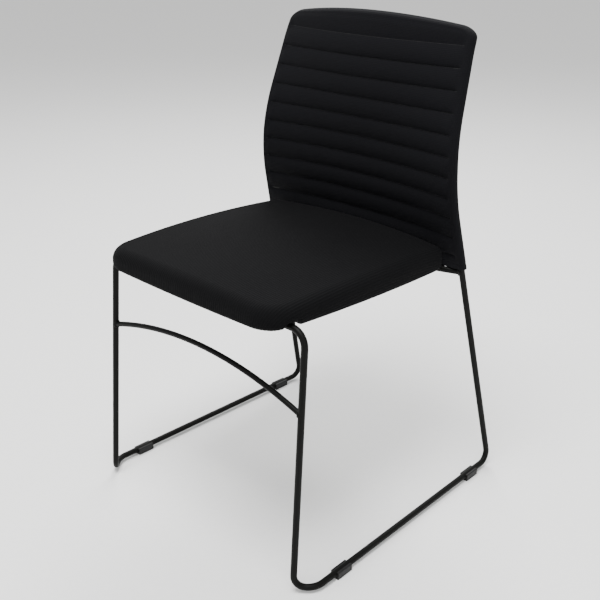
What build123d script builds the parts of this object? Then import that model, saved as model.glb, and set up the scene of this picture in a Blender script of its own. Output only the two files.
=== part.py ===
from build123d import *
import math
import os

# A stacking chair: a bent-rod sled frame, a padded seat on a flat pan, and a thin padded back whose
# cover is a sleeve over the two uprights. Millimetres, +Z up, the sitter faces -Y, and +X is the
# sitter's left. The origin is on the floor under the middle of the chair.

os.makedirs("parts", exist_ok=True)

# ---------------------------------------------------------------- driving dimensions: frame
rod_r = 5.5
glide_base = 4.0
rod_floor = glide_base + rod_r

rail_front = (0.0, -219.8, 438.0)
leg_top = (227.2, -219.8, 438.0)
leg_foot = (235.6, -255.4, rod_floor)
toe_end = (262.5, -230.0, rod_floor)
runner_end = (252.2, 267.3, rod_floor)
lumbar = (212.1, 128.8, 600.6)
upright_top = (195.8, 183.8, 778.0)

rail_bend = 26.0
foot_bend = 20.5
toe_bend = 34.0
heel_bend = 20.0
lumbar_bend = 335.0

stretcher_r = 4.5
stretcher_z = 308.0
stretcher_rise = 36.0
rear_rail_z = 418.0
rear_rail_bow = 40.0
weld_size = 2.0
cope_gap = 0.3

cap_peg_r = 2.5
cap_peg_length = 10.0
cap_peg_gap = 1.0
cap_dome = 4.0
cap_edge_r = 3.2

glide_width = 16.5
glide_height = 13.5
glide_length = 33.0
glide_corner_r = 2.0
glide_places = (-169.5, 202.2)
glide_fit = 0.05

# ---------------------------------------------------------------- driving dimensions: seat
seat_slope = 1.6
tab_thickness = 3.0
pan_thickness = 10.0
pan_inset = 14.0
pan_chamfer = 1.5
cover_wall = 1.2
lip_drop = 9.5
crown_height = 38.0
crown_y = 18.2
crown_radius = 3200.0
top_round = 23.0
lip_round = 10.0
lip_return = 24.0
flange_reach = 38.0
lining_inset = 30.0
lining_thickness = 0.6
lining_gap = 4.0
cover_notch_gap = 1.5
foam_notch_gap = 2.0
layer_gap = 0.2

seat_front = -267.8
seat_rear = 162.2
seat_side = 214.5
seat_side_y = -41.8
front_corner = (202.5, -263.3)
rear_corner = (210.0, 143.0)
front_corner_r = 52.0
rear_corner_r = 27.0
small_corner_r = 4.0

tab_width = 36.0
tab_length = 40.0
tab_corner_r = 6.0
front_tab_y = 14.0
rear_bracket_y = 341.0
bracket_depth = 18.5
screw_x = 100.0
front_screw_y = -196.8
rear_screw_y = 110.2
screw_r = 3.0
screw_clear_r = 3.5
nut_barrel_r = 4.0
nut_flange_r = 9.0
nut_flange = 1.5
nut_setback = 1.0
washer_r = 7.0
washer_thickness = 1.5
head_r = 5.5
head_height = 3.3
head_edge_r = 1.5
screw_length = 14.0
hex_across = 4.0
hex_depth = 2.0

# ---------------------------------------------------------------- driving dimensions: back
pad_half = 9.5
pad_beyond_rod = 8.4
pad_end_round = 6.5
pad_crown = 2.0
pad_slices = 18
pad_bottom = 425.0
pad_top = 831.0
pad_shoulder = (201.6, 812.0)
pad_waist = (212.2, 700.0)
pad_corner_r = 26.0
sleeve_wall = 1.3
sleeve_overrun = 5.0
outline_margin = 60.0
core_inset = 12.0
core_gap = 1.0
panel_edge = -8.0
foam_edge = -24.0
panel_half = 1.5
foam_half = 7.9
hem_thickness = 4.0
hem_recess = 2.0
hollow_deep = 23.0
hollow_z = 570.0
hollow_bottom = 10.0
roll_forward = 19.0
roll_z = 810.0
curl_z = 765.0
curl = 8.0
clip_heights = (480.0, 745.0)
clip_size = (20.0, 13.0, 22.0)
clip_overlap = 2.0
clip_corner_r = 2.5
clip_probe = 0.5


def between(low, high, z):
    """The point on the line from low to high at height z."""
    t = (z - low[2]) / (high[2] - low[2])
    return tuple(a + (b - a) * t for a, b in zip(low, high))


def upright_axis(z):
    """X and Y of the left upright's axis at height z, through the lumbar bend."""
    lean_low = math.atan2(runner_end[1] - lumbar[1], lumbar[2] - runner_end[2])
    lean_up = math.atan2(upright_top[1] - lumbar[1], upright_top[2] - lumbar[2])
    reach = lumbar_bend * math.tan((lean_low + lean_up) / 2)
    x = between(runner_end, lumbar, z)[0] if z < lumbar[2] else between(lumbar, upright_top, z)[0]
    arc_low = lumbar[2] - reach * math.cos(lean_low)
    arc_high = lumbar[2] + reach * math.cos(lean_up)
    if z <= arc_low:
        return x, between(runner_end, lumbar, z)[1]
    if z >= arc_high:
        return x, between(lumbar, upright_top, z)[1]
    centre_y = lumbar[1] + reach * math.sin(lean_low) + lumbar_bend * math.cos(lean_low)
    centre_z = arc_low + lumbar_bend * math.sin(lean_low)
    return x, centre_y - math.sqrt(lumbar_bend**2 - (z - centre_z) ** 2)


def finish(builder, name):
    """Labels a finished piece and writes it."""
    builder.part.label = name
    export_step(builder.part, f"parts/{name}.step")


# ---------------------------------------------------------------- frame
def make_side_rod():
    """The left side rod, from the middle of the front seat rail to the top of the upright."""
    with BuildPart() as rod:
        with BuildLine() as route:
            FilletPolyline(
                rail_front, leg_top, leg_foot, toe_end, runner_end, lumbar, upright_top,
                radius=[rail_bend, foot_bend, toe_bend, heel_bend, lumbar_bend],
            )
        with BuildSketch(Plane(origin=rail_front, x_dir=(0, 1, 0), z_dir=(1, 0, 0))):
            Circle(rod_r)
        sweep(path=route.wires()[0])
        with BuildSketch(top_plane(1)):
            Circle(cap_peg_r)
        extrude(amount=-cap_peg_length, mode=Mode.SUBTRACT)
    return rod


def top_plane(side):
    """The plane of an upright's end face, facing out of the rod."""
    end = Vector(side * upright_top[0], upright_top[1], upright_top[2])
    bend = Vector(side * lumbar[0], lumbar[1], lumbar[2])
    return Plane(origin=end, x_dir=(1, 0, 0), z_dir=end - bend)


def mirrored(builder):
    """The same piece on the sitter's right."""
    with BuildPart() as other:
        add(mirror(builder.part, about=Plane.YZ))
    return other


def stub(origin, direction, radius, both=False):
    """A short round bar from origin along direction, or both ways along it."""
    with BuildPart() as bar:
        with BuildSketch(Plane(origin=origin, z_dir=direction)):
            Circle(radius)
        extrude(amount=4 * rod_r, both=both)
    return bar.part


def bowed_rod(end, middle, leg, radius):
    """A round rod bent to one arc between the legs, its ends coped to fit them."""
    with BuildPart() as rod:
        with BuildLine() as route:
            arc = ThreePointArc((-end[0], end[1], end[2]), middle, end)
        with BuildSketch(Plane(origin=arc @ 0, z_dir=arc % 0)):
            Circle(radius)
        sweep(path=route.wires()[0])
        leg_bar = stub(end, leg, rod_r + cope_gap, both=True)
        add(leg_bar, mode=Mode.SUBTRACT)
        add(mirror(leg_bar, about=Plane.YZ), mode=Mode.SUBTRACT)
    return rod


def weld_bead(end, inward, leg, rod, radius):
    """The bead round a coped rod end: where the two rods, swollen, would cross, less the rods."""
    with BuildPart() as bead:
        add(stub(end, leg, rod_r + weld_size, both=True))
        add(stub(end, inward, radius + weld_size), mode=Mode.INTERSECT)
        add(stub(end, leg, rod_r, both=True), mode=Mode.SUBTRACT)
        add(rod.part, mode=Mode.SUBTRACT)
    return bead


def make_cap(side):
    """A push-in plug with a domed head in the end of an upright."""
    with BuildPart() as cap:
        with BuildSketch(top_plane(side)):
            Circle(rod_r)
        extrude(amount=cap_dome)
        fillet(cap.faces().sort_by(Axis.Z)[-1].edges(), radius=cap_edge_r)
        with BuildSketch(top_plane(side)):
            Circle(cap_peg_r - glide_fit)
        extrude(amount=cap_peg_gap - cap_peg_length)
    return cap


def make_glide(side, y):
    """A saddle that snaps over the runner from below, with a flat sole."""
    t = (y - toe_end[1]) / (runner_end[1] - toe_end[1])
    x = toe_end[0] + (runner_end[0] - toe_end[0]) * t
    along = Vector(side * (runner_end[0] - toe_end[0]), runner_end[1] - toe_end[1], 0)
    section = Plane(origin=(side * x, y, 0), x_dir=along.cross(Vector(0, 0, 1)), z_dir=along)
    up = section.to_local_coords(Vector(side * x, y, 1)).Y
    with BuildPart() as glide:
        with BuildSketch(section):
            with Locations((0, up * glide_height / 2)):
                RectangleRounded(glide_width, glide_height, glide_corner_r)
            with Locations((0, up * rod_floor)):
                Circle(rod_r + glide_fit, mode=Mode.SUBTRACT)
        extrude(amount=glide_length / 2, both=True)
    return glide


side_rod_left = make_side_rod()
finish(side_rod_left, "side_rod_left")
side_rod_right = mirrored(side_rod_left)
finish(side_rod_right, "side_rod_right")

front_leg = Vector(*leg_top) - Vector(*leg_foot)
leg_lean = math.atan2(leg_top[1] - leg_foot[1], leg_top[2] - leg_foot[2])
stretcher_end = between(leg_foot, leg_top, stretcher_z)
stretcher_middle = (
    0.0,
    stretcher_end[1] + stretcher_rise * math.sin(leg_lean),
    stretcher_end[2] + stretcher_rise * math.cos(leg_lean),
)
front_stretcher = bowed_rod(stretcher_end, stretcher_middle, front_leg, stretcher_r)
finish(front_stretcher, "front_stretcher")

rear_leg = Vector(*lumbar) - Vector(*runner_end)
rear_rail_end = between(runner_end, lumbar, rear_rail_z)
rear_rail_middle = (0.0, rear_rail_end[1] - rear_rail_bow, rear_rail_z)
rear_seat_rail = bowed_rod(rear_rail_end, rear_rail_middle, rear_leg, rod_r)
finish(rear_seat_rail, "rear_seat_rail")

stretcher_inward = Vector(-stretcher_end[0], 0, 2 * stretcher_rise)
stretcher_bead = weld_bead(stretcher_end, stretcher_inward, front_leg, front_stretcher, stretcher_r)
rear_inward = Vector(-rear_rail_end[0], -2 * rear_rail_bow, 0)
rear_bead = weld_bead(rear_rail_end, rear_inward, rear_leg, rear_seat_rail, rod_r)
with BuildPart() as frame_welds:
    for bead in (stretcher_bead, rear_bead):
        add(bead.part)
        add(mirror(bead.part, about=Plane.YZ))
finish(frame_welds, "frame_welds")

for side, side_name in ((1, "left"), (-1, "right")):
    finish(make_cap(side), f"upright_cap_{side_name}")
    for y, end_name in zip(glide_places, ("front", "rear")):
        finish(make_glide(side, y), f"glide_{end_name}_{side_name}")

# ---------------------------------------------------------------- seat
slope = math.radians(seat_slope)
pan_origin = Vector(0, rail_front[1], rail_front[2] + rod_r + tab_thickness + glide_fit)
seat_normal = Vector(0, math.sin(slope), math.cos(slope))


def seat_level(height):
    """The plane at a height above the pan's underside, square to the pan's slope."""
    return Plane(origin=pan_origin + seat_normal * height, x_dir=(1, 0, 0), z_dir=seat_normal)


def seat_plan(inset):
    """The seat's outline, drawn inwards by inset, with Y measured from the front rail."""
    shift = -rail_front[1]
    front = (front_corner[0] - inset, front_corner[1] + shift + inset)
    rear = (rear_corner[0] - inset, rear_corner[1] + shift - inset)
    side = (seat_side - inset, seat_side_y + shift)
    with BuildSketch() as plan:
        with BuildLine():
            ThreePointArc((-front[0], front[1]), (0, seat_front + shift + inset), front)
            ThreePointArc(front, side, rear)
            ThreePointArc(rear, (0, seat_rear + shift - inset), (-rear[0], rear[1]))
            ThreePointArc((-rear[0], rear[1]), (-side[0], side[1]), (-front[0], front[1]))
        make_face()
        fillet(plan.vertices().group_by(Axis.Y)[0], radius=front_corner_r - inset)
        rear_radius = max(rear_corner_r - inset, small_corner_r)
        fillet(plan.vertices().filter_by(lambda v: v.Y > rear[1] - glide_fit), radius=rear_radius)
    return plan.sketch


def cushion_body(inset):
    """The cushion's crowned block with rounded top and bottom edges, shrunk all round by inset."""
    with BuildPart() as body:
        with BuildSketch(seat_level(inset - lip_drop)):
            add(seat_plan(inset))
        extrude(amount=crown_height + 2 * lip_drop)
        middle = Vector(0, crown_y - rail_front[1], crown_height - inset - crown_radius)
        with Locations(seat_level(0).from_local_coords(middle)):
            Sphere(crown_radius, mode=Mode.INTERSECT)
        along_normal = body.faces().sort_by(Axis.Z)
        fillet(along_normal[-1].edges(), radius=top_round)
        fillet(body.faces().sort_by(Axis.Z)[0].edges(), radius=lip_round)
    return body


def lip_notches(clearance):
    """The slots that the front leg bends and the rear brackets need through the hanging lip."""
    depth = 2 * lip_drop + tab_thickness + rod_r
    with BuildPart() as notches:
        with BuildSketch(seat_level(-depth)):
            with Locations((leg_top[0] - lip_return, 0), (lip_return - leg_top[0], 0)):
                Rectangle(3 * lip_return, 2 * (rod_r + clearance))
            with Locations((-screw_x, rear_bracket_y), (screw_x, rear_bracket_y)):
                Rectangle(tab_width + 2 * clearance, tab_length + 2 * clearance)
        extrude(amount=depth)
    return notches


def screw_places():
    """The four fixing points, in the seat's own plane."""
    front = front_screw_y - rail_front[1]
    rear = rear_screw_y - rail_front[1]
    return [(x, y) for x in (-screw_x, screw_x) for y in (front, rear)]


def discs(low, height, radius):
    """A short cylinder at each fixing point, from low upwards."""
    with BuildPart() as group:
        with BuildSketch(seat_level(low)):
            with Locations(*screw_places()):
                Circle(radius)
        extrude(amount=height)
    return group


def make_pan():
    """The flat pan, drilled for the tee nuts."""
    with BuildPart() as pan:
        with BuildSketch(seat_level(0)):
            add(seat_plan(pan_inset))
        extrude(amount=pan_thickness)
        chamfer(pan.faces().sort_by(Axis.Z)[-1].edges(), length=pan_chamfer)
        add(discs(0, pan_thickness, nut_barrel_r).part, mode=Mode.SUBTRACT)
        add(discs(pan_thickness - nut_flange, 2 * nut_flange, nut_flange_r).part, mode=Mode.SUBTRACT)
    return pan


def make_cover():
    """The fitted cover: over the foam, under its hanging lip, and stapled flat to the pan."""
    with BuildPart() as cover:
        add(cushion_body(0).part)
        add(cushion_body(cover_wall).part, mode=Mode.SUBTRACT)
        with BuildSketch(seat_level(-lip_drop)):
            add(seat_plan(lip_return - cover_wall))
        extrude(amount=lip_drop)
        with BuildSketch(seat_level(-lip_drop)):
            add(seat_plan(lip_return))
        extrude(amount=lip_drop, mode=Mode.SUBTRACT)
        with BuildSketch(seat_level(-cover_wall)):
            add(seat_plan(lip_return - cover_wall))
            add(seat_plan(flange_reach), mode=Mode.SUBTRACT)
        extrude(amount=cover_wall - layer_gap)
        add(lip_notches(cover_notch_gap).part, mode=Mode.SUBTRACT)
    return cover


def make_foam(pan):
    """The moulded foam, wrapped round the pan's edge."""
    with BuildPart() as foam:
        add(cushion_body(cover_wall + layer_gap).part)
        add(pan.part, mode=Mode.SUBTRACT)
        add(discs(0, pan_thickness, nut_flange_r).part, mode=Mode.SUBTRACT)
        with BuildSketch(seat_level(-lip_drop)):
            add(seat_plan(lip_return - cover_wall - layer_gap))
        extrude(amount=lip_drop, mode=Mode.SUBTRACT)
        add(lip_notches(foam_notch_gap).part, mode=Mode.SUBTRACT)
    return foam


def make_lining(tabs):
    """The non-woven sheet that hides the staples, cut out round the tabs and brackets."""
    with BuildPart() as lining:
        with BuildSketch(seat_level(-cover_wall - layer_gap - lining_thickness)):
            add(seat_plan(lining_inset))
            for tab in tabs:
                with Locations(tab):
                    Rectangle(tab_width + 2 * lining_gap, tab_length + 2 * lining_gap, mode=Mode.SUBTRACT)
        extrude(amount=lining_thickness)
    return lining


def make_front_tab(side):
    """A flat plate on top of the front rail, drilled for its screw."""
    with BuildPart() as tab:
        with BuildSketch(seat_level(-tab_thickness)):
            with Locations((side * screw_x, front_tab_y)):
                RectangleRounded(tab_width, tab_length, tab_corner_r)
            with Locations(*screw_places()):
                Circle(screw_clear_r, mode=Mode.SUBTRACT)
        extrude(amount=tab_thickness)
    return tab


def make_rear_bracket(side):
    """A folded channel that stands on the rear rail and carries the pan."""
    with BuildPart() as bracket:
        with BuildSketch(seat_level(-bracket_depth)):
            with Locations((side * screw_x, rear_bracket_y)):
                Rectangle(tab_width, tab_length)
        extrude(amount=bracket_depth)
        with BuildSketch(seat_level(-bracket_depth)):
            with Locations((side * screw_x, rear_bracket_y)):
                Rectangle(tab_width - 2 * tab_thickness, tab_length)
        extrude(amount=bracket_depth - tab_thickness, mode=Mode.SUBTRACT)
        add(rear_seat_rail.part, mode=Mode.SUBTRACT)
        add(discs(-bracket_depth, bracket_depth, screw_clear_r).part, mode=Mode.SUBTRACT)
    return bracket


def make_tee_nuts():
    """Flanged barrels pressed into the pan from above."""
    with BuildPart() as nuts:
        add(discs(nut_setback, pan_thickness - nut_setback, nut_barrel_r).part)
        add(discs(pan_thickness - nut_flange, nut_flange, nut_flange_r).part)
        add(discs(0, pan_thickness, screw_r).part, mode=Mode.SUBTRACT)
    return nuts


def make_screws():
    """Button-head screws up through the washers and tabs into the tee nuts."""
    head_top = -tab_thickness - washer_thickness
    with BuildPart() as screws:
        add(discs(head_top - head_height, head_height, head_r).part)
        fillet(screws.faces().filter_by(GeomType.PLANE).group_by(Axis.Z)[0].edges(), radius=head_edge_r)
        add(discs(head_top, screw_length, screw_r).part)
        with BuildSketch(seat_level(head_top - head_height)):
            with Locations(*screw_places()):
                RegularPolygon(hex_across / 2, 6, major_radius=False)
        extrude(amount=hex_depth, mode=Mode.SUBTRACT)
    return screws


seat_pan = make_pan()
finish(seat_pan, "seat_pan")
finish(make_foam(seat_pan), "seat_foam")
finish(make_cover(), "seat_cover")
finish(make_front_tab(1), "front_tab_left")
finish(make_front_tab(-1), "front_tab_right")
finish(make_rear_bracket(1), "rear_bracket_left")
finish(make_rear_bracket(-1), "rear_bracket_right")
tab_places = [(x, y) for x in (-screw_x, screw_x) for y in (front_tab_y, rear_bracket_y)]
finish(make_lining(tab_places), "seat_underlining")
finish(make_tee_nuts(), "seat_tee_nuts")
with BuildPart() as seat_washers:
    add(discs(-tab_thickness - washer_thickness, washer_thickness, washer_r).part)
    add(discs(-tab_thickness - washer_thickness, washer_thickness, screw_clear_r).part, mode=Mode.SUBTRACT)
finish(seat_washers, "seat_washers")
finish(make_screws(), "seat_screws")


# ---------------------------------------------------------------- back
def hollow_of(z):
    """How far the pad's middle stands behind its edges at height z: a lumbar hollow, then a roll."""
    if z < hollow_z:
        return hollow_deep - (hollow_deep - hollow_bottom) * ((hollow_z - z) / (hollow_z - pad_bottom)) ** 2
    turn = math.pi * min(1, (z - hollow_z) / (roll_z - hollow_z))
    middle = (hollow_deep - roll_forward) / 2
    return middle + (hollow_deep + roll_forward) / 2 * math.cos(turn) - curl_of(z)


def curl_of(z):
    """How far the pad's top corners turn back behind the uprights' line at height z."""
    return curl * (max(0, z - curl_z) / (pad_top - curl_z)) ** 2


def section(z, front, rear, edge, end_round, crown=0.0):
    """A slice of the back at height z: front and rear offsets from its middle, edge beyond the rod."""
    rod_x, rod_y = upright_axis(z)
    half = rod_x + edge
    end = half - end_round
    lift = hollow_of(z) * (1 - (end / rod_x) ** 2)
    centre_y = rod_y + curl_of(z) + hollow_of(z)
    middle_y = rod_y + curl_of(z) + lift
    front_y = middle_y - front
    rear_y = middle_y + rear
    with BuildSketch() as slice_:
        with BuildLine():
            ThreePointArc((-end, front_y), (0, centre_y - front - crown), (end, front_y))
            ThreePointArc((end, rear_y), (0, centre_y + rear), (-end, rear_y))
            if end_round:
                ThreePointArc((end, front_y), (half, middle_y), (end, rear_y))
                ThreePointArc((-end, rear_y), (-half, middle_y), (-end, front_y))
            else:
                Line((end, front_y), (end, rear_y))
                Line((-end, rear_y), (-end, front_y))
        make_face()
    return slice_.sketch


def back_outline(inset, low):
    """The back seen from the front, drawn inwards by inset and cut off at the height low."""
    shoulder = (pad_shoulder[0] - inset, pad_shoulder[1] - inset)
    waist = (pad_waist[0] - inset, pad_waist[1])
    wide = pad_waist[0] + outline_margin
    with BuildSketch() as outline:
        with BuildLine():
            ThreePointArc((-shoulder[0], shoulder[1]), (0, pad_top - inset), shoulder)
            Polyline(shoulder, waist, (wide, waist[1]), (wide, low), (-wide, low))
            Polyline((-wide, low), (-wide, waist[1]), (-waist[0], waist[1]), (-shoulder[0], shoulder[1]))
        make_face()
        corners = outline.vertices().filter_by(lambda v: v.Y > waist[1] + clip_probe)
        fillet(corners, radius=pad_corner_r - inset)
    return outline.sketch


def back_layer(front, rear, edge, end_round, top_inset, low, crown=0.0):
    """One layer of the back, lofted up the uprights' curve and trimmed to the outline."""
    spacing = (pad_top - pad_bottom) / (pad_slices - 2)
    with BuildPart() as layer:
        for i in range(pad_slices + 1):
            z = pad_bottom + spacing * (i - 1)
            with BuildSketch(Plane.XY.offset(z)):
                add(section(z, front, rear, edge, end_round, crown))
        loft()
        with BuildSketch(Plane.XZ):
            add(back_outline(top_inset, low))
        extrude(amount=2 * runner_end[1], both=True, mode=Mode.INTERSECT)
    return layer


def clip_plane(side, z):
    """A plane square to the upright at height z, its X turned outwards along the back's curve."""
    low = upright_axis(z - clip_probe)
    high = upright_axis(z + clip_probe)
    along = Vector(side * (high[0] - low[0]), high[1] - low[1], 2 * clip_probe)
    x, y = upright_axis(z)
    outward = Vector(side, -2 * hollow_of(z) / x, 0)
    square = outward - along * (outward.dot(along) / along.length**2)
    return Plane(origin=(side * x, y, z), x_dir=square, z_dir=along)


def make_clips(panel):
    """Blocks that hook the panel's edges to the uprights, two a side."""
    with BuildPart() as clips:
        for side in (-1, 1):
            for z in clip_heights:
                with BuildSketch(clip_plane(side, z)):
                    with Locations((-clip_size[0] / 2 - clip_overlap, 0)):
                        RectangleRounded(clip_size[0], clip_size[1], clip_corner_r)
                extrude(amount=clip_size[2] / 2, both=True)
        add(side_rod_left.part, mode=Mode.SUBTRACT)
        add(side_rod_right.part, mode=Mode.SUBTRACT)
        add(panel.part, mode=Mode.SUBTRACT)
    return clips


def make_hem_strip():
    """The moulded strip that closes the sleeve's lower edge, with a hole for each upright."""
    slack = sleeve_wall + layer_gap
    inner = pad_half - slack
    closing = back_layer(
        inner, inner, pad_beyond_rod - slack, pad_end_round - slack, 0, pad_bottom + hem_recess, pad_crown
    )
    with BuildPart() as strip:
        add(closing.part)
        with BuildSketch(Plane.XY.offset(pad_bottom)):
            Rectangle(2 * runner_end[1], 2 * runner_end[1])
        extrude(amount=hem_recess + hem_thickness, mode=Mode.INTERSECT)
        for side in (-1, 1):
            with BuildSketch(clip_plane(side, pad_bottom)):
                Circle(rod_r + glide_fit)
            extrude(amount=4 * hem_thickness, both=True, mode=Mode.SUBTRACT)
    return strip


def make_sleeve():
    """The padded sleeve that slides down over both uprights."""
    outer = back_layer(pad_half, pad_half, pad_beyond_rod, pad_end_round, 0, pad_bottom, pad_crown)
    inner = pad_half - sleeve_wall
    hollow = back_layer(
        inner, inner, pad_beyond_rod - sleeve_wall, pad_end_round - sleeve_wall, sleeve_wall,
        pad_bottom - sleeve_overrun, pad_crown,
    )
    with BuildPart() as sleeve:
        add(outer.part)
        add(hollow.part, mode=Mode.SUBTRACT)
    return sleeve


finish(make_sleeve(), "back_cover")
core_low = pad_bottom + hem_recess + hem_thickness + core_gap
back_panel = back_layer(panel_half, panel_half, panel_edge, 0, core_inset, core_low)
finish(back_panel, "back_panel")
foam_face = -panel_half - layer_gap
back_foam_front = back_layer(foam_half, foam_face, foam_edge, 0, core_inset, core_low, pad_crown)
finish(back_foam_front, "back_foam_front")
back_foam_rear = back_layer(foam_face, foam_half, foam_edge, 0, core_inset, core_low)
finish(back_foam_rear, "back_foam_rear")
finish(make_clips(back_panel), "back_clips")
finish(make_hem_strip(), "back_hem_strip")
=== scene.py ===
import logging
import math
from dataclasses import dataclass, field
from enum import Enum

import bmesh
import bpy
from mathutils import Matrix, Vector


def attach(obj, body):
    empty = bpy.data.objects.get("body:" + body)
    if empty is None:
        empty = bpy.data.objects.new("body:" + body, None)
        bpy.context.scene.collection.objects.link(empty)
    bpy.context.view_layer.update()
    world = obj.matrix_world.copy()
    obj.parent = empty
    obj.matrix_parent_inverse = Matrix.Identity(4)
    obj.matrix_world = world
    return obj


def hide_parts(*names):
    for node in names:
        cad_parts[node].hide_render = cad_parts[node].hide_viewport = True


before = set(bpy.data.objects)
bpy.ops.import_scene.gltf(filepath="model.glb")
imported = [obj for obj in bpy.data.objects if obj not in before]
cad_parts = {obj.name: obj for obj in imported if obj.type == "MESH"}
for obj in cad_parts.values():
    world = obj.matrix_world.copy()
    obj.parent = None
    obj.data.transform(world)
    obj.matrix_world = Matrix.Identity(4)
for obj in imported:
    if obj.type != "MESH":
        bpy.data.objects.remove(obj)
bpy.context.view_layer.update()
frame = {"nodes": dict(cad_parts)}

log = logging.getLogger("stacking_chair")
MM = 0.001
BODY = "root"


# ---------------------------------------------------------------- small helpers
def linear(hex_colour: str) -> tuple[float, float, float, float]:
    """Turns an sRGB hex colour into linear light.

    Args:
        hex_colour: six hex digits.

    Returns:
        Linear red, green, blue and an alpha of one.
    """
    channels = [int(hex_colour[i:i + 2], 16) / 255 for i in (0, 2, 4)]
    toe, knee, scale, power = 0.04045, 12.92, 1.055, 2.4
    light = [c / knee if c <= toe else ((c + scale - 1) / scale) ** power for c in channels]
    return (light[0], light[1], light[2], 1.0)


def add_node(tree: bpy.types.NodeTree, kind: str, values: dict | None = None,
             links: dict | None = None, **settings: object) -> bpy.types.Node:
    """Adds one shader node with its settings, socket values and incoming links.

    Args:
        tree: the node tree.
        kind: the node's type name.
        values: socket name or index to its value.
        links: socket name or index to the output socket that feeds it.
        settings: attributes of the node itself.

    Returns:
        The new node.
    """
    node = tree.nodes.new(kind)
    for name, value in settings.items():
        setattr(node, name, value)
    for key, value in (values or {}).items():
        node.inputs[key].default_value = value
    for key, source in (links or {}).items():
        tree.links.new(source, node.inputs[key])
    return node


def to_object(mesh_maker: bmesh.types.BMesh, name: str, smooth: bool = True) -> bpy.types.Object:
    """Turns a bmesh into an object at the origin with outward faces.

    Args:
        mesh_maker: the finished bmesh, which is freed.
        name: the piece's name.
        smooth: whether its faces shade smoothly.

    Returns:
        The linked object.
    """
    bmesh.ops.recalc_face_normals(mesh_maker, faces=mesh_maker.faces)
    mesh = bpy.data.meshes.new(name)
    mesh_maker.to_mesh(mesh)
    mesh_maker.free()
    mesh.polygons.foreach_set("use_smooth", [smooth] * len(mesh.polygons))
    piece = bpy.data.objects.new(name, mesh)
    bpy.context.scene.collection.objects.link(piece)
    return piece


def smooth_step(low: float, high: float, value: float) -> float:
    """Rises from 0 at low to 1 at high, with level ends.

    Args:
        low: where it starts to rise.
        high: where it has risen.
        value: the value to place between them.

    Returns:
        A share from 0 to 1.
    """
    t = min(1.0, max(0.0, (value - low) / (high - low)))
    return t * t * (3 - 2 * t)


# ---------------------------------------------------------------- finishes
@dataclass(frozen=True)
class Finish:
    """One real material: its name, its colours and how rough it is."""

    name: str
    dark: str
    light: str
    roughness: float

    def make(self) -> bpy.types.Material:
        """Builds the material.

        Returns:
            The finished material.
        """
        material = bpy.data.materials.new(self.name)
        material.use_nodes = True
        tree = material.node_tree
        tree.nodes.clear()
        place = add_node(tree, "ShaderNodeTexCoord").outputs["Object"]
        shader = add_node(tree, "ShaderNodeBsdfPrincipled", {"Roughness": self.roughness})
        self.dress(tree, shader, place)
        add_node(tree, "ShaderNodeOutputMaterial", links={"Surface": shader.outputs["BSDF"]})
        return material

    def blend(self, tree: bpy.types.NodeTree, factor: bpy.types.NodeSocket) -> bpy.types.NodeSocket:
        """Mixes the dark and the light colour by factor."""
        ramp = add_node(tree, "ShaderNodeValToRGB", links={"Fac": factor})
        ramp.color_ramp.elements[0].color = linear(self.dark)
        ramp.color_ramp.elements[1].color = linear(self.light)
        return ramp.outputs["Color"]

    def dress(self, tree: bpy.types.NodeTree, shader: bpy.types.Node, place: bpy.types.NodeSocket) -> None:
        """Adds this finish's own nodes; each kind of finish has its own."""
        raise NotImplementedError


@dataclass(frozen=True)
class PowderCoat(Finish):
    """Satin black polyester powder on steel: a faint orange peel about 1.5 mm across."""

    peel_mm: float = 1.5
    specular: float = 0.09

    def dress(self, tree: bpy.types.NodeTree, shader: bpy.types.Node, place: bpy.types.NodeSocket) -> None:
        """Mottles the colour, varies the gloss a little and raises the peel."""
        peel = add_node(tree, "ShaderNodeTexNoise", {"Scale": 1 / (self.peel_mm * MM), "Detail": 2.0},
                        {"Vector": place})
        handling = add_node(tree, "ShaderNodeTexNoise", {"Scale": 18.0, "Detail": 4.0}, {"Vector": place})
        tree.links.new(self.blend(tree, handling.outputs["Fac"]), shader.inputs["Base Color"])
        low_gloss, high_gloss = self.roughness - 0.06, self.roughness + 0.08
        gloss = add_node(tree, "ShaderNodeMapRange", {"To Min": low_gloss, "To Max": high_gloss},
                         {"Value": handling.outputs["Fac"]})
        tree.links.new(gloss.outputs["Result"], shader.inputs["Roughness"])
        shader.inputs["Specular IOR Level"].default_value = self.specular
        bump = add_node(tree, "ShaderNodeBump", {"Strength": 0.25, "Distance": 0.0001},
                        {"Height": peel.outputs["Fac"]})
        tree.links.new(bump.outputs["Normal"], shader.inputs["Normal"])


@dataclass(frozen=True)
class MouldedPlastic(Finish):
    """Black nylon or polypropylene from a spark-textured mould: a fine even grain, scuffed lighter."""

    grain_mm: float = 0.5
    specular: float = 0.25

    def dress(self, tree: bpy.types.NodeTree, shader: bpy.types.Node, place: bpy.types.NodeSocket) -> None:
        """Adds the mould grain and soft scuffs."""
        grain = add_node(tree, "ShaderNodeTexVoronoi", {"Scale": 1 / (self.grain_mm * MM)}, {"Vector": place})
        scuff = add_node(tree, "ShaderNodeTexNoise", {"Scale": 60.0, "Detail": 5.0, "Roughness": 0.65},
                         {"Vector": place})
        tree.links.new(self.blend(tree, scuff.outputs["Fac"]), shader.inputs["Base Color"])
        shader.inputs["Specular IOR Level"].default_value = self.specular
        bump = add_node(tree, "ShaderNodeBump", {"Strength": 0.3, "Distance": 0.00008},
                        {"Height": grain.outputs["Distance"]})
        tree.links.new(bump.outputs["Normal"], shader.inputs["Normal"])


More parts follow.
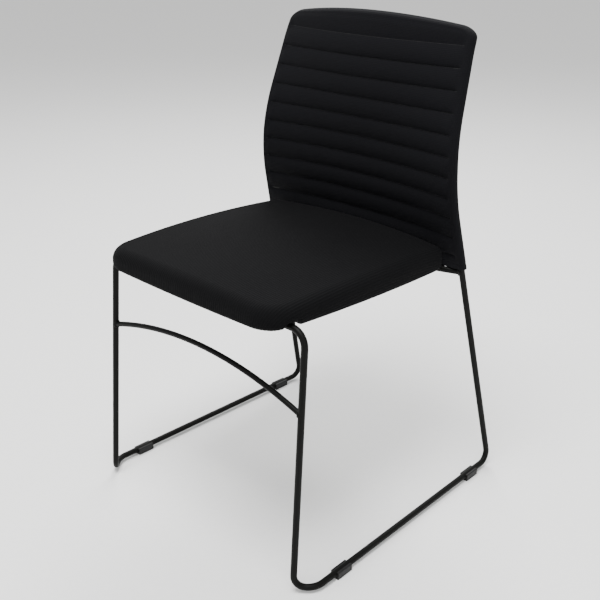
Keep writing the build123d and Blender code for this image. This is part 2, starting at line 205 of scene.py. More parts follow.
@dataclass(frozen=True)
class Cloth(Finish):
    """A polyester cloth: ribs one way, yarn loops the other, a soft sheen and slight fading."""

    rib_mm: float = 3.6
    loop_mm: float = 1.8
    depth_mm: float = 0.35
    sheen: float = 0.25
    rib_share: float = 0.72
    specular: float = 0.12

    def wave(self, tree: bpy.types.NodeTree, axis: bpy.types.NodeSocket, pitch_mm: float) -> bpy.types.NodeSocket:
        """A cosine from -1 to 1 along one coordinate, repeating every pitch."""
        turn = add_node(tree, "ShaderNodeMath", {1: 2 * math.pi / (pitch_mm * MM)}, {0: axis}, operation="MULTIPLY")
        return add_node(tree, "ShaderNodeMath", links={0: turn.outputs[0]}, operation="COSINE").outputs[0]

    def dress(self, tree: bpy.types.NodeTree, shader: bpy.types.Node, place: bpy.types.NodeSocket) -> None:
        """Builds the knit from ribs along the cloth's own U and loops along its V."""
        cloth_map = add_node(tree, "ShaderNodeUVMap", uv_map="cloth").outputs["UV"]
        axes = add_node(tree, "ShaderNodeSeparateXYZ", links={"Vector": cloth_map})
        ribs = self.wave(tree, axes.outputs["X"], self.rib_mm)
        loops = self.wave(tree, axes.outputs["Y"], self.loop_mm)
        knit = add_node(tree, "ShaderNodeMath", {1: self.rib_share}, {0: ribs}, operation="MULTIPLY")
        knit = add_node(tree, "ShaderNodeMath", {1: 1 - self.rib_share, 2: 0.0},
                        {0: loops, 2: knit.outputs[0]}, operation="MULTIPLY_ADD")
        fuzz = add_node(tree, "ShaderNodeTexNoise", {"Scale": 900.0, "Detail": 3.0}, {"Vector": place})
        fade = add_node(tree, "ShaderNodeTexNoise", {"Scale": 9.0, "Detail": 3.0}, {"Vector": place})
        tone = add_node(tree, "ShaderNodeMath", {1: 0.16, 2: 0.30}, {0: knit.outputs[0]}, operation="MULTIPLY_ADD")
        tone = add_node(tree, "ShaderNodeMath", {1: 0.35}, {0: fade.outputs["Fac"], 2: tone.outputs[0]},
                        operation="MULTIPLY_ADD")
        tree.links.new(self.blend(tree, tone.outputs[0]), shader.inputs["Base Color"])
        height = add_node(tree, "ShaderNodeMath", {1: 0.5}, {0: fuzz.outputs["Fac"], 2: knit.outputs[0]},
                          operation="MULTIPLY_ADD")
        bump = add_node(tree, "ShaderNodeBump", {"Strength": 0.6, "Distance": self.depth_mm * MM},
                        {"Height": height.outputs[0]})
        tree.links.new(bump.outputs["Normal"], shader.inputs["Normal"])
        shader.inputs["Sheen Weight"].default_value = self.sheen
        shader.inputs["Sheen Roughness"].default_value = 0.45
        shader.inputs["Sheen Tint"].default_value = linear("9a9aa2")
        shader.inputs["Specular IOR Level"].default_value = self.specular


@dataclass(frozen=True)
class NonWoven(Finish):
    """Spun-bonded lining: short pressed fibres about 2 mm across, dull and slightly grey."""

    fibre_mm: float = 2.0

    def dress(self, tree: bpy.types.NodeTree, shader: bpy.types.Node, place: bpy.types.NodeSocket) -> None:
        """Adds the pressed-fibre mottle."""
        fibre = add_node(tree, "ShaderNodeTexVoronoi", {"Scale": 1 / (self.fibre_mm * MM)}, {"Vector": place},
                         feature="SMOOTH_F1")
        tree.links.new(self.blend(tree, fibre.outputs["Distance"]), shader.inputs["Base Color"])
        bump = add_node(tree, "ShaderNodeBump", {"Strength": 0.4, "Distance": 0.0002},
                        {"Height": fibre.outputs["Distance"]})
        tree.links.new(bump.outputs["Normal"], shader.inputs["Normal"])


@dataclass(frozen=True)
class Thread(Finish):
    """Bonded black polyester thread: three plies twisted, drawn 1.2 mm long so that they can be seen."""

    twist_mm: float = 1.2

    def dress(self, tree: bpy.types.NodeTree, shader: bpy.types.Node, place: bpy.types.NodeSocket) -> None:
        """Adds the twist of the plies."""
        twist = add_node(tree, "ShaderNodeTexWave", {"Scale": 0.314 / (self.twist_mm * MM), "Distortion": 1.0},
                         {"Vector": place}, bands_direction="DIAGONAL")
        tree.links.new(self.blend(tree, twist.outputs["Fac"]), shader.inputs["Base Color"])
        bump = add_node(tree, "ShaderNodeBump", {"Strength": 0.5, "Distance": 0.0001},
                        {"Height": twist.outputs["Fac"]})
        tree.links.new(bump.outputs["Normal"], shader.inputs["Normal"])


@dataclass(frozen=True)
class Zinc(Finish):
    """Bright zinc plate on steel fasteners: metal with faint drawing marks."""

    def dress(self, tree: bpy.types.NodeTree, shader: bpy.types.Node, place: bpy.types.NodeSocket) -> None:
        """Adds the metal and its marks."""
        marks = add_node(tree, "ShaderNodeTexNoise", {"Scale": 700.0, "Detail": 2.0}, {"Vector": place})
        tree.links.new(self.blend(tree, marks.outputs["Fac"]), shader.inputs["Base Color"])
        shader.inputs["Metallic"].default_value = 1.0


@dataclass(frozen=True)
class Plywood(Finish):
    """Raw beech plywood: long grain across the pan with growth lines about 6 mm apart."""

    def dress(self, tree: bpy.types.NodeTree, shader: bpy.types.Node, place: bpy.types.NodeSocket) -> None:
        """Adds the grain."""
        stretch = add_node(tree, "ShaderNodeMapping", {"Scale": (1.0, 12.0, 12.0)}, {"Vector": place})
        grain = add_node(tree, "ShaderNodeTexNoise", {"Scale": 14.0, "Detail": 6.0},
                         {"Vector": stretch.outputs["Vector"]})
        tree.links.new(self.blend(tree, grain.outputs["Fac"]), shader.inputs["Base Color"])


class Surface(Enum):
    """The chair's finishes, each named for its real material.

    The cloths' ribs and loops are drawn coarser than real ones, so that they can be seen at the chair's scale.
    """

    FRAME = PowderCoat("satin_black_powder_coat_on_steel", "060605", "0c0c0b", 0.46)
    GLIDE = MouldedPlastic("moulded_black_nylon", "0a0a0a", "131313", 0.55)
    SHELL = MouldedPlastic("moulded_black_polypropylene", "090909", "111111", 0.6, grain_mm=0.7)
    SEAT = Cloth("woven_black_polyester_rib_cloth", "030304", "0d0d0e", 0.9, rib_mm=4.4, loop_mm=2.2,
                 depth_mm=0.45, sheen=0.012, specular=0.075)
    BACK = Cloth("knitted_black_polyester_spacer_cloth", "030305", "09090d", 0.9, rib_mm=2.6, loop_mm=2.6,
                 depth_mm=0.3, sheen=0.03, rib_share=0.5)
    THREAD = Thread("bonded_black_polyester_thread", "030303", "080809", 0.9)
    LINING = NonWoven("spun_bonded_black_lining", "080808", "121212", 0.95)
    FASTENER = Zinc("bright_zinc_plated_steel", "9a9a98", "c4c4c0", 0.35)
    PAN = Plywood("raw_beech_plywood", "a17c50", "c9a677", 0.7)


# ---------------------------------------------------------------- shapes shared by the pieces
@dataclass(frozen=True)
class Arc:
    """A circular stretch of an outline, bulging outwards, in millimetres."""

    x: float
    y: float
    radius: float

    def shrunk(self, amount: float) -> "Arc":
        """The same arc drawn inwards."""
        return Arc(self.x, self.y, self.radius - amount)

    def point(self, angle: float, inset: float = 0.0) -> Vector:
        """The point at an angle, drawn inwards by inset."""
        return Vector((self.x, self.y)) + (self.radius - inset) * Vector((math.cos(angle), math.sin(angle)))

    def angle_to(self, target: Vector) -> float:
        """The angle from the arc's centre to a point."""
        return math.atan2(target.y - self.y, target.x - self.x)

    @staticmethod
    def through(a: tuple[float, float], b: tuple[float, float], c: tuple[float, float]) -> "Arc":
        """The arc through three points."""
        (ax, ay), (bx, by), (cx, cy) = a, b, c
        turn = 2 * (ax * (by - cy) + bx * (cy - ay) + cx * (ay - by))
        squares = [p[0] ** 2 + p[1] ** 2 for p in (a, b, c)]
        x = (squares[0] * (by - cy) + squares[1] * (cy - ay) + squares[2] * (ay - by)) / turn
        y = (squares[0] * (cx - bx) + squares[1] * (ax - cx) + squares[2] * (bx - ax)) / turn
        return Arc(x, y, math.hypot(ax - x, ay - y))

    @staticmethod
    def corner(first: "Arc", second: "Arc", radius: float, near: tuple[float, float]) -> "Arc":
        """The corner round that touches two arcs from inside, close to a point."""
        one, two = first.shrunk(radius), second.shrunk(radius)
        apart = Vector((two.x - one.x, two.y - one.y))
        along = (one.radius ** 2 - two.radius ** 2 + apart.length_squared) / (2 * apart.length)
        across = math.sqrt(one.radius ** 2 - along ** 2)
        axis = apart.normalized()
        middle = Vector((one.x, one.y)) + axis * along
        choices = [middle + Vector((-axis.y, axis.x)) * across * sign for sign in (1, -1)]
        best = min(choices, key=lambda p: (p - Vector(near)).length)
        return Arc(best.x, best.y, radius)


@dataclass(frozen=True)
class EdgePoint:
    """A point of an outline and the way outwards from it."""

    place: Vector
    outward: Vector


@dataclass(frozen=True)
class Uprights:
    """The line of the two uprights that the back hangs on, in millimetres."""

    foot: tuple[float, float, float] = (252.2, 267.3, 9.5)
    lumbar: tuple[float, float, float] = (212.1, 128.8, 600.6)
    top: tuple[float, float, float] = (195.8, 183.8, 778.0)
    soften: float = 88.0

    def at(self, z: float) -> tuple[float, float]:
        """X and Y of the left upright at a height, with the lumbar bend rounded."""
        low = (z - self.foot[2]) / (self.lumbar[2] - self.foot[2])
        high = (z - self.lumbar[2]) / (self.top[2] - self.lumbar[2])
        x_low = self.foot[0] + (self.lumbar[0] - self.foot[0]) * low
        x_high = self.lumbar[0] + (self.top[0] - self.lumbar[0]) * high
        y_low = self.foot[1] + (self.lumbar[1] - self.foot[1]) * low
        y_high = self.lumbar[1] + (self.top[1] - self.lumbar[1]) * high
        offset = z - self.lumbar[2]
        if abs(offset) >= self.soften:
            return (x_low, y_low) if offset < 0 else (x_high, y_high)
        share = (offset + self.soften) / (2 * self.soften)
        kink = (self.top[1] - self.lumbar[1]) / (self.top[2] - self.lumbar[2]) + \
            (self.foot[1] - self.lumbar[1]) / (self.lumbar[2] - self.foot[2])
        rounded = y_low + kink * self.soften * share ** 2
        return x_low if offset < 0 else x_high, rounded


# ---------------------------------------------------------------- the seat
@dataclass
class SeatCushion:
    """The fitted seat cushion: crowned top, waterfall front, hanging lip, flange under the pan."""

    steps: int = 640
    rows: int = 44
    front_corner_r: float = 52.0
    rear_corner_r: float = 27.0
    rail_y: float = -219.8
    pan_z: float = 446.55
    slope: float = math.radians(1.6)
    crown: float = 38.0
    crown_y: float = -10.0
    crown_radius: float = 3200.0
    hub_y: float = -53.0
    hub_reach: float = 205.0
    round_front: float = 22.0
    round_rear: float = 11.0
    lip: float = 9.5
    lip_front: float = 2.5
    lip_round: float = 10.0
    lip_return: float = 23.5
    wall: float = 1.3
    flange: float = 38.0
    pan_inset: float = 13.7
    pan_top: float = 10.2
    rod_notch: float = 7.2
    notch_half: float = 7.0
    notch_end: float = 18.0
    bracket_x: float = 100.0
    bracket_half: float = 21.0
    bracket_end: float = 28.0
    pleat: float = 0.9
    pleats: float = 56.0
    edge: list[EdgePoint] = field(default_factory=list)

    def outline(self) -> list[EdgePoint]:
        """The plan outline, evenly stepped: four long arcs and four corner rounds."""
        right = Arc.through((202.5, -263.3), (214.5, -41.8), (210.0, 143.0))
        left = Arc(-right.x, right.y, right.radius)
        front = Arc.through((-202.5, -263.3), (0.0, -267.8), (202.5, -263.3))
        rear = Arc.through((210.0, 143.0), (0.0, 162.2), (-210.0, 143.0))
        corners = [
            Arc.corner(front, right, self.front_corner_r, (202.5, -263.3)),
            Arc.corner(right, rear, self.rear_corner_r, (210.0, 143.0)),
            Arc.corner(rear, left, self.rear_corner_r, (-210.0, 143.0)),
            Arc.corner(left, front, self.front_corner_r, (-202.5, -263.3)),
        ]
        sides = [right, rear, left, front]
        runs: list[tuple[Arc, float, float]] = []
        for i, corner in enumerate(corners):
            before, after = sides[i - 1], sides[i]
            centre = Vector((corner.x, corner.y))
            start, end = before.angle_to(centre), after.angle_to(centre)
            runs.append((corner, start, end))
            following = corners[(i + 1) % 4]
            runs.append((after, end, after.angle_to(Vector((following.x, following.y)))))
        lengths = []
        for arc, start, end in runs:
            lengths.append(arc.radius * ((end - start) % (2 * math.pi)))
        points = []
        for (arc, start, end), length in zip(runs, lengths):
            count = max(6, round(self.steps * length / sum(lengths)))
            sweep = (end - start) % (2 * math.pi)
            for k in range(count):
                angle = start + sweep * k / count
                points.append(EdgePoint(arc.point(angle), Vector((math.cos(angle), math.sin(angle)))))
        return points

    def top(self, x: float, y: float) -> float:
        """Height of the crowned top above the pan's underside."""
        return self.crown - (x ** 2 + (y - self.crown_y) ** 2) / (2 * self.crown_radius)

    def inward(self, point: EdgePoint, inset: float) -> Vector:
        """The outline's point drawn inwards: square to the edge at first, then toward the middle."""
        near = min(inset, self.lip_return)
        place = point.place - point.outward * near
        middle = Vector((0.0, self.hub_y))
        return middle + (place - middle) * (1 - (inset - near) / self.hub_reach)

    def lift(self, point: EdgePoint) -> float:
        """How far the lip is pushed up where the front rail's bends pass under it."""
        away = abs(point.place.y - self.rail_y)
        at_side = abs(point.outward.x) > 0.5
        return self.rod_notch * (1 - smooth_step(self.notch_half, self.notch_end, away)) * at_side

    def gather(self, point: EdgePoint) -> float:
        """Depth of the small pleats where the cover is pulled under the corners."""
        at_corner = (2 * point.outward.x * point.outward.y) ** 2
        turn = math.atan2(point.outward.y, point.outward.x)
        return self.pleat * at_corner * (1 + math.sin(self.pleats * turn)) / 2

    def spare(self, point: EdgePoint) -> float:
        """1 where the lip is free to turn under, 0 above the rear brackets."""
        away = abs(abs(point.place.x) - self.bracket_x)
        return smooth_step(self.bracket_half, self.bracket_end, away) if point.outward.y > 0.7 else 1.0

    def profile(self, point: EdgePoint) -> list[tuple[float, float]]:
        """Inset and height of each ring at one outline point, from the top's edge down and under."""
        rear = smooth_step(0.2, 0.9, point.outward.y)
        radius = self.round_front + (self.round_rear - self.round_front) * rear
        start = self.inward(point, radius)
        crest = self.top(start.x, start.y)
        low = self.lift(point) - self.lip - self.lip_front * smooth_step(0.2, 0.8, -point.outward.y)
        under = self.lip_round + (self.lip_return - self.lip_round) * self.spare(point)
        flange = self.pan_inset + 1 + (self.flange - self.pan_inset - 1) * self.spare(point)
        steps = 12
        rings = []
        for k in range(steps + 1):
            turn = math.pi / 2 * k / steps
            rings.append((radius * (1 - math.sin(turn)), crest - radius * (1 - math.cos(turn))))
        side_top, side_low = crest - radius, low + self.lip_round
        rings += [(0.0, side_top + (side_low - side_top) * k / 4) for k in range(1, 4)]
        for k in range(steps + 1):
            turn = math.pi / 2 * k / steps
            pleat = self.gather(point) * math.sin(turn)
            rings.append((self.lip_round * (1 - math.cos(turn)) + pleat, side_low - self.lip_round * math.sin(turn)))
        rings += [(under, low), (under, -self.wall), (flange, -self.wall), (flange, -0.1), (self.pan_inset, -0.1),
                  (self.pan_inset, self.pan_top)]
        return rings

    def world(self, x: float, y: float, height: float) -> Vector:
        """A point over the pan as a place in the frame, in metres."""
        shift = y - self.rail_y
        up, level = math.cos(self.slope), math.sin(self.slope)
        return Vector((x, self.rail_y + shift * up + height * level, self.pan_z - shift * level + height * up)) * MM

    def mesh(self) -> bpy.types.Object:
        """Builds the closed cushion with its cloth map.

        Returns:
            The cushion.
        """
        self.edge = self.outline()
        maker = bmesh.new()
        cloth = maker.loops.layers.uv.new("cloth")
        flat: dict[bmesh.types.BMVert, Vector] = {}
        profiles = [self.profile(p) for p in self.edge]
        rings: list[list[bmesh.types.BMVert]] = []
        for level in range(self.rows, 0, -1):
            ring = []
            for p, profile in zip(self.edge, profiles):
                rim = self.inward(p, profile[0][0])
                middle = Vector((0.0, self.hub_y))
                place = middle + (rim - middle) * (1 - level / (self.rows + 1))
                vert = maker.verts.new(self.world(place.x, place.y, self.top(place.x, place.y)))
                flat[vert] = place
                ring.append(vert)
            rings.append(ring)
        for j in range(len(profiles[0])):
            ring = []
            for p, profile in zip(self.edge, profiles):
                inset, height = profile[j]
                place = self.inward(p, inset)
                vert = maker.verts.new(self.world(place.x, place.y, height))
                travel = sum(math.dist(profile[k], profile[k + 1]) for k in range(j))
                flat[vert] = self.inward(p, profile[0][0]) + p.outward * travel
                ring.append(vert)
            rings.append(ring)
        count = len(self.edge)
        for inner, outer in zip(rings, rings[1:]):
            for k in range(count):
                n = (k + 1) % count
                maker.faces.new((inner[k], outer[k], outer[n], inner[n]))
        for ring, height in ((rings[0], self.top(0.0, self.hub_y)), (rings[-1], self.pan_top)):
            hub = maker.verts.new(self.world(0.0, self.hub_y, height))
            flat[hub] = Vector((0.0, self.hub_y))
            for k in range(count):
                maker.faces.new((hub, ring[k], ring[(k + 1) % count]))
        for face in maker.faces:
            for loop in face.loops:
                loop[cloth].uv = flat[loop.vert] * MM
        return to_object(maker, "seat_cushion")

    def dress(self, piece: bpy.types.Object, material: bpy.types.Material) -> None:
        """Covers the cushion and hands it to the frame."""
        piece.data.materials.append(material)
        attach(piece, BODY)
        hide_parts("seat_cover", "seat_foam")
        log.info("%s: %d faces", piece.name, len(piece.data.polygons))


# ---------------------------------------------------------------- the back
@dataclass
class BackPad:
    """The padded back sleeve: sewn channels in front, plain behind, hemmed open foot."""

    line: Uprights = Uprights()
    low: float = 425.0
    high: float = 832.0
    hollow_deep: float = 23.0
    hollow_loss: float = 13.0
    hollow_z: float = 570.0
    roll_middle: float = 2.0
    roll_swing: float = 21.0
    roll_length: float = 240.0
    curl_z: float = 765.0
    curl_deep: float = 8.0
    waist: tuple[float, float] = (213.2, 700.0)
    shoulder: tuple[float, float] = (203.6, 812.0)
    crest_drop: float = 16.5
    crest_half: float = 201.6
    level_z: float = 797.0
    beyond: float = 9.4
    corner: float = 27.0
    half: float = 9.5
    edge_round: float = 7.0
    crown: float = 1.2
    crown_half: float = 212.0
    puff: float = 5.4
    fullness: float = 0.75
    sunk: float = 3.8
    pucker_deep: float = 0.36
    pucker_reach: float = 4.0
    foot_span: float = 60.0
    yoke_span: float = 90.0
    border: float = 11.0
    stitch_top: float = 790.7
    pitch: float = 34.1
    channels: int = 10
    hem: float = 10.0
    hem_deep: float = 0.9
    hem_half: float = 1.6
    skirt: float = 6.5
    sag: float = 8.0
    sag_half: float = 176.0
    sag_rise: float = 60.0
    wall: float = 1.3

    def hollow(self, z: float) -> float:
        """How far the pad's middle stands behind its edges: a lumbar hollow, then a roll forward."""
        if z < self.hollow_z:
            below = (self.hollow_z - z) / (self.hollow_z - self.low)
            return self.hollow_deep - self.hollow_loss * below ** 2
        turn = math.pi * min(1.0, (z - self.hollow_z) / self.roll_length)
        return self.roll_middle + self.roll_swing * math.cos(turn) - self.curl(z)

    def curl(self, z: float) -> float:
        """How far the top corners turn back behind the uprights' line."""
        return self.curl_deep * (max(0.0, z - self.curl_z) / (self.high - self.curl_z)) ** 2

    def half_width(self, z: float) -> float:
        """Half the pad's width at a height, before its top corners are rounded."""
        full = self.line.at(z)[0] + self.beyond
        (waist_x, waist_z), (shoulder_x, shoulder_z) = self.waist, self.shoulder
        if z > waist_z:
            full = min(full, waist_x + (shoulder_x - waist_x) * (z - waist_z) / (shoulder_z - waist_z))
        return full

    def rim(self, z: float) -> float:
        """Half the pad's width at a row, with its top corners rounded."""
        full = self.half_width(z)
        start = self.high - self.corner
        if z <= start:
            return full
        rise = min(1.0, (z - start) / self.corner)
        return full - self.corner * (1 - math.sqrt(max(0.0, 1 - rise ** 2)))

    def row_z(self, row: float, x: float) -> float:
        """The height of a row at x: level up to the yoke, then following the crest."""
        if row <= self.level_z:
            slack = max(0.0, 1 - (row - self.low) / self.sag_rise)
            return row - self.sag * slack * (1 - smooth_step(self.sag_half, self.sag_half + 24.0, abs(x)))
        crest = self.high - self.crest_drop * (x / self.crest_half) ** 2
        return self.level_z + (row - self.level_z) * (crest - self.level_z) / (self.high - self.level_z)

    def middle_y(self, x: float, z: float) -> float:
        """Y of the pad's mid-surface."""
        rod_x, rod_y = self.line.at(z)
        return rod_y + self.curl(z) + self.hollow(z) * (1 - (x / rod_x) ** 2)

    def lines(self) -> list[float]:
        """Heights of the stitch lines, from the lowest."""
        return [self.stitch_top - self.pitch * k for k in range(self.channels, -1, -1)]

    def inside(self, x: float, row: float) -> float:
        """Distance from a point of the pad to its nearest rounded edge."""
        to_side = self.half_width(row) - abs(x)
        to_top = self.high - row
        if to_side < self.corner and to_top < self.corner:
            return self.corner - math.hypot(self.corner - to_side, self.corner - to_top)
        return min(to_side, to_top)

    def thickness(self, x: float, row: float) -> float:
        """Half the pad's plain thickness, falling away round its edges."""
        depth = min(1.0, max(0.0, self.inside(x, row)) / self.edge_round)
        return self.half * math.sqrt(max(0.0, 1 - (1 - depth) ** 2))

    def quilting(self, x: float, row: float) -> float:
        """How far the front stands above its plain level: pillowed channels and their grooves."""
        lines = self.lines()
        inner = smooth_step(self.border - 2.5, self.border + 7.0, self.inside(x, row))
        if row < lines[0]:
            gap, span = lines[0] - row, self.foot_span
        elif row > lines[-1]:
            gap, span = row - lines[-1], self.yoke_span
        else:
            index = int((row - lines[0]) / self.pitch)
            below = lines[0] + index * self.pitch
            gap, span = min(row - below, below + self.pitch - row), self.pitch
        share = min(1.0, 2 * gap / span)
        pillow = self.puff * (1 - (1 - share) ** 2.0) ** self.fullness - self.sunk
        turned = self.hem_groove(row)
        ripple = math.sin(x * 1.07 + row * 2.3) * math.sin(x * 0.41 + row)
        pucker = self.pucker_deep * ripple * math.exp(-gap / self.pucker_reach)
        return (pillow + pucker) * inner - turned + self.crown * (1 - (x / self.crown_half) ** 2)

    def hem_groove(self, row: float) -> float:
        """Depth of the groove along the hem's stitching."""
        return self.hem_deep * math.exp(-((row - self.low - self.hem) / self.hem_half) ** 2)

    def rear_relief(self, x: float, row: float) -> float:
        """How far the rear stands off its plain level: slack ripples and the hem's groove."""
        turned = self.hem_groove(row)
        ripple = 0.5 * math.sin(row / 31.0 + 0.8 * math.sin(x / 90.0)) * smooth_step(10.0, 60.0, self.inside(x, row))
        return ripple - turned

    def surface(self, x: float, row: float, side: int) -> Vector:
        """A point of the pad's outer skin, side -1 in front and 1 behind, in millimetres."""
        z = self.row_z(row, x)
        plain = self.thickness(x, row)
        relief = self.quilting(x, row) if side < 0 else self.rear_relief(x, row)
        away = plain + relief * smooth_step(0.0, self.half, plain)
        return Vector((x, self.middle_y(x, z) + side * away, z))

    def rows(self) -> list[float]:
        """The heights of the mesh's rows, gathered at the stitch lines and at the top edge."""
        lines = self.lines()
        rows = [self.low + (lines[0] - self.low) * k / 24 for k in range(24)]
        for low in lines[:-1]:
            rows += [low + self.pitch * (1 - math.cos(math.pi * k / 18)) / 2 for k in range(18)]
        top = 26
        rows += [lines[-1] + (self.high - lines[-1]) * math.sin(math.pi / 2 * k / top) for k in range(top + 1)]
        return rows

    def columns(self) -> list[float]:
        """The mesh's columns as shares of the half width, gathered at both edges."""
        edge_share, edge_steps, middle = 0.05, 8, 110
        rise = [edge_share * (1 - math.cos(math.pi / 2 * k / edge_steps)) for k in range(edge_steps)]
        inner = [edge_share + (2 - 2 * edge_share) * k / middle for k in range(middle + 1)]
        return [r - 1 for r in rise] + [i - 1 for i in inner] + [1 - r for r in reversed(rise)]

    def mesh(self) -> bpy.types.Object:
        """Builds the closed pad with its cloth map.

        Returns:
            The pad.
        """
        maker = bmesh.new()
        cloth = maker.loops.layers.uv.new("cloth")
        rows, columns = self.rows(), self.columns()
        last_row, last_column = len(rows) - 1, len(columns) - 1
        flat: dict[bmesh.types.BMVert, tuple[float, float]] = {}

        def place(row: float, share: float, side: int) -> bmesh.types.BMVert:
            x = self.rim(row) * share
            vert = maker.verts.new(self.surface(x, row, side) * MM)
            flat[vert] = (x * MM, row * MM)
            return vert

        front = [[place(row, share, -1) for share in columns] for row in rows]
        rear = []
        for j, row in enumerate(rows):
            shared = j == last_row
            rear.append([front[j][i] if shared or i in (0, last_column) else place(row, share, 1)
                         for i, share in enumerate(columns)])
        for sheet_rows in (front, rear):
            for j in range(last_row):
                for i in range(last_column):
                    corners = (sheet_rows[j][i], sheet_rows[j][i + 1], sheet_rows[j + 1][i + 1], sheet_rows[j + 1][i])
                    maker.faces.new(corners)
        self.close_foot(maker, front[0], rear[0], flat)
        for face in maker.faces:
            for loop in face.loops:
                loop[cloth].uv = flat[loop.vert]
        return to_object(maker, "back_pad")

    def close_foot(self, maker: bmesh.types.BMesh, front: list, rear: list, flat: dict) -> None:
        """Turns the sleeve's wall in at the foot and closes it above the hem strip."""
        def inner(vert: bmesh.types.BMVert, side: int, index: int, rise: float) -> bmesh.types.BMVert:
            squeeze = 1 - self.wall / self.rim(self.low)
            x, z = vert.co.x * squeeze, (self.low + rise) * MM if rise else vert.co.z
            middle = self.middle_y(x / MM, z / MM) * MM
            depth = abs(vert.co.y - self.middle_y(vert.co.x / MM, vert.co.z / MM) * MM)
            away = max(0.0, depth - self.wall * MM)
            made = maker.verts.new((x, middle + side * away, z))
            flat[made] = (flat[vert][0], flat[vert][1] - (self.wall + rise) * MM)
            return made

        loops: list[tuple[list, list]] = [(front, rear)]
        for rise in (0.0, self.skirt):
            turned_front = [inner(v, -1, i, rise) for i, v in enumerate(front)]
            ends = (0, len(rear) - 1)
            turned_rear = [turned_front[i] if i in ends else inner(v, 1, i, rise) for i, v in enumerate(rear)]
            loops.append((turned_front, turned_rear))
        for (front_a, rear_a), (front_b, rear_b) in zip(loops, loops[1:]):
            for a, b in ((front_a, front_b), (rear_a, rear_b)):
                for i in range(len(a) - 1):
                    maker.faces.new((a[i], a[i + 1], b[i + 1], b[i]))
        front_c, rear_c = loops[-1]
        for i in range(len(front_c) - 1):
            around = dict.fromkeys((front_c[i], front_c[i + 1], rear_c[i + 1], rear_c[i]))
            maker.faces.new(list(around))

    def thread(self) -> bpy.types.Object:
        """Builds the lockstitch rows that hold the channels down.

        Returns:
            All rows of thread as one piece.
        """
        maker = bmesh.new()
        spread, sides, stitch, step = self.border + 0.5, 6, 4.0, 0.8
        for line in self.lines():
            reach = self.half_width(line) - spread
            count = int(2 * reach / step)
            before: list[bmesh.types.BMVert] = []
            for k in range(count + 1):
                x = -reach + 2 * reach * k / count
                lift = 0.45 * math.sin(2 * math.pi * x / stitch) - 0.1
                core = self.surface(x, line, -1) - Vector((0.0, lift, 0.0))
                ring = []
                for n in range(sides):
                    turn = 2 * math.pi * n / sides
                    ring.append(maker.verts.new((core + Vector((0.0, math.cos(turn), math.sin(turn))) * 0.45) * MM))
                if before:
                    for n in range(sides):
                        after = (n + 1) % sides
                        maker.faces.new((before[n], before[after], ring[after], ring[n]))
                if k in (0, count):
                    maker.faces.new(ring)
                before = ring
        return to_object(maker, "back_stitching")

    def dress_thread(self, piece: bpy.types.Object, material: bpy.types.Material) -> None:
        """Gives the thread its finish and hands it to the frame."""
        piece.data.materials.append(material)
        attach(piece, BODY)
        log.info("%s: %d faces", piece.name, len(piece.data.polygons))

    def dress(self, piece: bpy.types.Object, material: bpy.types.Material) -> None:
        """Covers the pad and hands it to the frame."""
        piece.data.materials.append(material)
        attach(piece, BODY)
        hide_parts("back_cover", "back_foam_front", "back_foam_rear")
        log.info("%s: %d faces", piece.name, len(piece.data.polygons))


# ---------------------------------------------------------------- frame, studio, camera
@dataclass(frozen=True)
class CadFinishes:
    """Which finish each carried-over CAD node takes, by the start of its name."""

    by_start: tuple[tuple[str, Surface], ...] = (
        ("side_rod", Surface.FRAME), ("front_stretcher", Surface.FRAME), ("rear_seat_rail", Surface.FRAME),
        ("frame_welds", Surface.FRAME), ("front_tab", Surface.FRAME), ("rear_bracket", Surface.FRAME),
        ("upright_cap", Surface.SHELL), ("glide", Surface.GLIDE), ("seat_pan", Surface.PAN),
        ("seat_underlining", Surface.LINING), ("seat_", Surface.FASTENER), ("back_", Surface.SHELL),
    )

    def dress(self, nodes: dict[str, bpy.types.Object], finishes: dict[Surface, bpy.types.Material]) -> None:
        """Gives every CAD node its finish through its own material slots."""
        for name, node in nodes.items():
            surface = next(s for start, s in self.by_start if name.startswith(start))
            if not node.material_slots:
                node.data.materials.append(finishes[surface])
            for place in node.material_slots:
                place.material = finishes[surface]
            log.info("%s: %s", name, finishes[surface].name)


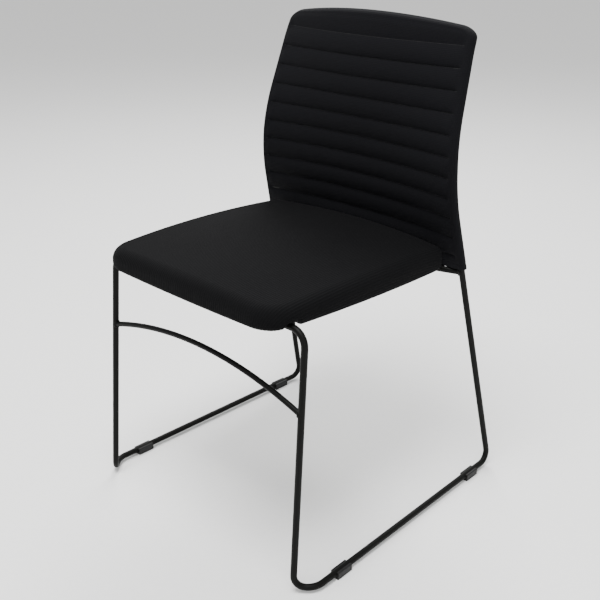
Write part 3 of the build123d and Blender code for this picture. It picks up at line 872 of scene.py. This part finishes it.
@dataclass(frozen=True)
class Studio:
    """The pale floor, the soft lights and the camera."""

    def floor(self) -> None:
        """Lays a wide pale floor."""
        maker = bmesh.new()
        bmesh.ops.create_grid(maker, x_segments=1, y_segments=1, size=30.0)
        floor = to_object(maker, "studio_floor", smooth=False)
        material = bpy.data.materials.new("matte_white_paper_sweep")
        material.use_nodes = True
        tree = material.node_tree
        shader = tree.nodes["Principled BSDF"]
        place = add_node(tree, "ShaderNodeTexCoord").outputs["Object"]
        tooth = add_node(tree, "ShaderNodeTexNoise", {"Scale": 90.0, "Detail": 3.0}, {"Vector": place})
        ramp = add_node(tree, "ShaderNodeValToRGB", links={"Fac": tooth.outputs["Fac"]})
        ramp.color_ramp.elements[0].color = linear("f1f1f0")
        ramp.color_ramp.elements[1].color = linear("f6f6f5")
        tree.links.new(ramp.outputs["Color"], shader.inputs["Base Color"])
        shader.inputs["Roughness"].default_value = 0.9
        floor.data.materials.append(material)

    def lamp(self, name: str, place: tuple[float, float, float], size: float, power: float) -> None:
        """Hangs one square soft light, turned to the chair."""
        data = bpy.data.lights.new(name, "AREA")
        data.shape = "SQUARE"
        data.size = size
        data.energy = power
        lamp = bpy.data.objects.new(name, data)
        lamp.location = place
        aim = Vector((0.0, 0.0, 0.45)) - Vector(place)
        lamp.rotation_euler = aim.to_track_quat("-Z", "Y").to_euler()
        bpy.context.scene.collection.objects.link(lamp)

    def build(self) -> None:
        """Sets floor, lights, surrounding light and camera."""
        self.floor()
        self.lamp("key_light", (0.3, -0.9, 3.2), 1.4, 138.0)
        self.lamp("fill_light", (2.6, -1.6, 1.6), 1.6, 22.0)
        self.lamp("rim_light", (-1.2, 1.6, 2.8), 1.4, 85.0)
        world = bpy.data.worlds.new("studio_surround")
        bpy.context.scene.world = world
        world.use_nodes = True
        world.node_tree.nodes["Background"].inputs["Color"].default_value = (1.0, 1.0, 1.0, 1.0)
        world.node_tree.nodes["Background"].inputs["Strength"].default_value = 0.9
        self.camera()

    def camera(self) -> None:
        """Places the camera in front of the chair's left corner, looking down a little."""
        data = bpy.data.cameras.new("camera")
        data.lens = 54.73
        data.sensor_width = 36.0
        camera = bpy.data.objects.new("camera", data)
        camera.location = (1.0320, -1.0673, 0.9968)
        azimuth, pitch = math.radians(43.90), math.radians(23.49)
        camera.rotation_euler = (math.pi / 2 - pitch, 0.0, azimuth)
        bpy.context.scene.collection.objects.link(camera)
        bpy.context.scene.camera = camera


@dataclass
class StackingChair:
    """The whole chair: its finishes, its soft pieces and the carried-over frame."""

    seat: SeatCushion = field(default_factory=SeatCushion)
    back: BackPad = field(default_factory=BackPad)

    def build(self) -> None:
        """Makes and dresses every piece."""
        finishes = {surface: surface.value.make() for surface in Surface}
        CadFinishes().dress(frame["nodes"], finishes)
        self.seat.dress(self.seat.mesh(), finishes[Surface.SEAT])
        self.back.dress(self.back.mesh(), finishes[Surface.BACK])
        self.back.dress_thread(self.back.thread(), finishes[Surface.THREAD])


def main() -> None:
    """Builds the studio and the chair."""
    logging.basicConfig(level=logging.INFO, format="%(name)s: %(message)s")
    Studio().build()
    StackingChair().build()


if __name__ == "__main__":
    main()
